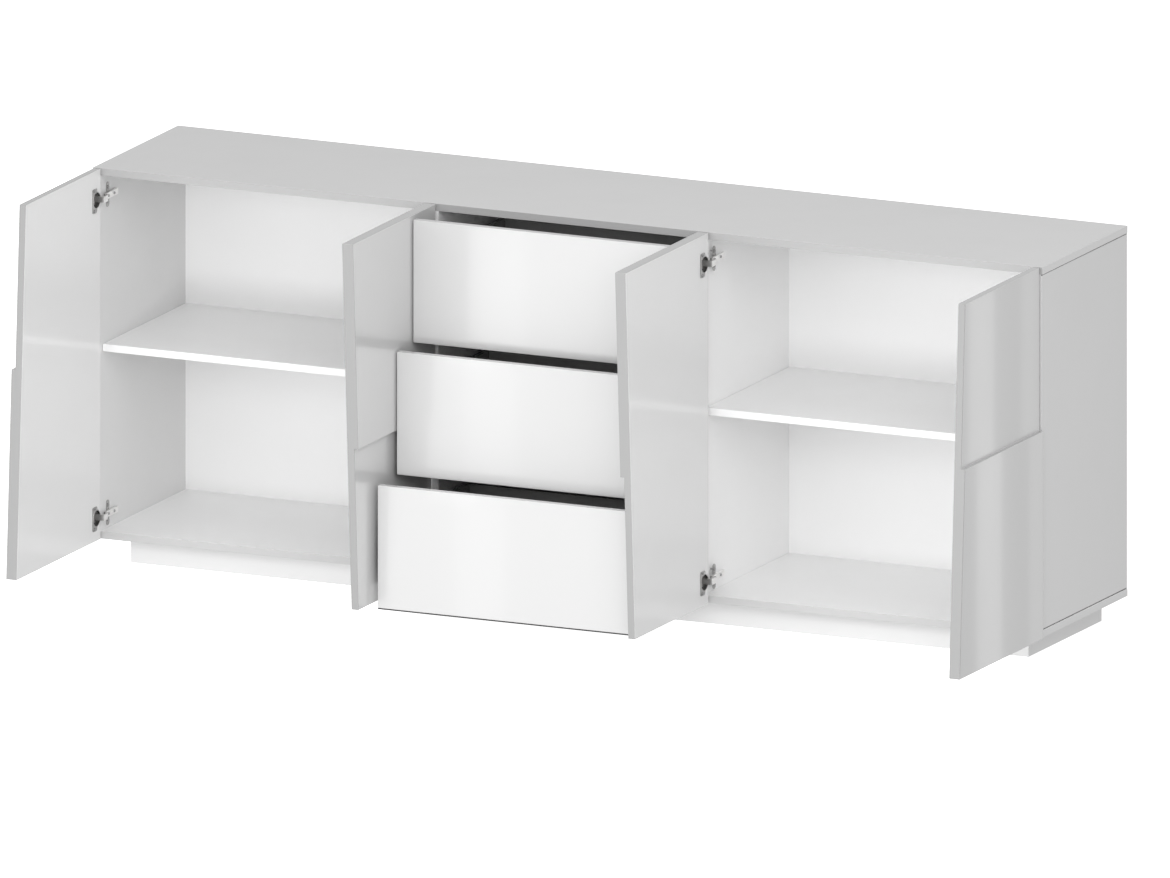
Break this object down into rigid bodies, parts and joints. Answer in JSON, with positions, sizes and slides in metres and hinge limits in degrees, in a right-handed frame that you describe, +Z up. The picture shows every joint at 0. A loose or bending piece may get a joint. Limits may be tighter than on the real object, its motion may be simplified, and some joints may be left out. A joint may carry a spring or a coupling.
{
  "type": "sideboard buffet",
  "caption": "Low white sideboard with slanted hinged doors that open to shelved bays, a middle stack of drawers and a set-back plinth.",
  "frame": {"origin": "middle of the sideboard's width and of its carcass depth, on the floor, at the underside of the middle plinth rail", "axes": "+X to the right along the width, -Y the front with the doors and drawers, +Z up"},
  "size_m": [2.209, 0.854, 0.86],
  "materials": {
    "shell_board": "off-white melamine-faced board, satin",
    "white_board": "white melamine-faced board, satin",
    "gloss_door": "off-white high-gloss lacquered board",
    "gloss_front": "white high-gloss lacquered board",
    "back_sheet": "thin white faced fibreboard, plain brown at the rear",
    "drawer_board": "dark grey board, matt",
    "dowel_beech": "plain beech",
    "hinge_nickel": "nickel-plated pressed steel",
    "fastener_steel": "zinc-plated steel",
    "runner_steel": "zinc-plated rolled steel",
    "edge_strip": "dark matt strip"
  },
  "bodies": {
    "carcass": {"top_panel": "shell_board", "bottom_panel": "shell_board", "left_side_panel": "shell_board", "right_side_panel": "shell_board", "left_divider": "white_board", "right_divider": "white_board", "left_back_sheet": "back_sheet", "centre_back_sheet": "back_sheet", "right_back_sheet": "back_sheet", "left_shelf": "white_board", "right_shelf": "white_board", "shelf_pins": "fastener_steel", "plinth_front": "white_board", "plinth_back": "white_board", "plinth_left_end": "white_board", "plinth_right_end": "white_board", "plinth_cross_rails": "white_board", "carcass_dowels": "dowel_beech", "carcass_screws": "fastener_steel", "hinge_arms": "hinge_nickel", "hinge_mounting_plates": "hinge_nickel", "hinge_plate_screws": "hinge_nickel", "cabinet_runners": "runner_steel"},
    "left_outer_door": {"left_outer_door_panel": "gloss_door", "left_outer_door_hinge_cups": "hinge_nickel", "left_outer_door_hinge_pins": "hinge_nickel", "left_outer_door_hinge_screws": "hinge_nickel"},
    "left_inner_door": {"left_inner_door_panel": "gloss_door", "left_inner_door_hinge_cups": "hinge_nickel", "left_inner_door_hinge_pins": "hinge_nickel", "left_inner_door_hinge_screws": "hinge_nickel"},
    "right_inner_door": {"right_inner_door_panel": "gloss_door", "right_inner_door_hinge_cups": "hinge_nickel", "right_inner_door_hinge_pins": "hinge_nickel", "right_inner_door_hinge_screws": "hinge_nickel"},
    "right_outer_door": {"right_outer_door_panel": "gloss_door", "right_outer_door_hinge_cups": "hinge_nickel", "right_outer_door_hinge_pins": "hinge_nickel", "right_outer_door_hinge_screws": "hinge_nickel"},
    "top_drawer": {"top_drawer_front": "gloss_front", "top_drawer_left_side": "drawer_board", "top_drawer_right_side": "drawer_board", "top_drawer_back": "drawer_board", "top_drawer_base": "drawer_board", "top_drawer_runners": "runner_steel"},
    "middle_drawer": {"middle_drawer_front": "gloss_front", "middle_drawer_left_side": "drawer_board", "middle_drawer_right_side": "drawer_board", "middle_drawer_back": "drawer_board", "middle_drawer_base": "drawer_board", "middle_drawer_runners": "runner_steel"},
    "bottom_drawer": {"bottom_drawer_front": "gloss_front", "bottom_drawer_left_side": "drawer_board", "bottom_drawer_right_side": "drawer_board", "bottom_drawer_back": "drawer_board", "bottom_drawer_base": "drawer_board", "bottom_drawer_runners": "runner_steel", "bottom_drawer_edge_strip": "edge_strip"}
  },
  "joints": [
    {"name": "left_outer_door_hinge", "type": "hinge", "parent": "carcass", "child": "left_outer_door", "pos_m": [-1.0895, -0.229, 0.4525], "axis": [0, 0, -1], "range_deg": [-90, 0]},
    {"name": "left_inner_door_hinge", "type": "hinge", "parent": "carcass", "child": "left_inner_door", "pos_m": [-0.3185, -0.229, 0.4525], "axis": [0, 0, 1], "range_deg": [-90, 0]},
    {"name": "right_inner_door_hinge", "type": "hinge", "parent": "carcass", "child": "right_inner_door", "pos_m": [0.3185, -0.229, 0.4525], "axis": [0, 0, -1], "range_deg": [-90, 0]},
    {"name": "right_outer_door_hinge", "type": "hinge", "parent": "carcass", "child": "right_outer_door", "pos_m": [1.0895, -0.229, 0.4525], "axis": [0, 0, 1], "range_deg": [-90, 0]},
    {"name": "top_drawer_slide", "type": "slide", "parent": "carcass", "child": "top_drawer", "axis": [0, -1, 0], "range_m": [-0.104, 0.196]},
    {"name": "middle_drawer_slide", "type": "slide", "parent": "carcass", "child": "middle_drawer", "axis": [0, -1, 0], "range_m": [-0.186, 0.114]},
    {"name": "bottom_drawer_slide", "type": "slide", "parent": "carcass", "child": "bottom_drawer", "axis": [0, -1, 0], "range_m": [-0.282, 0.018]}
  ]
}
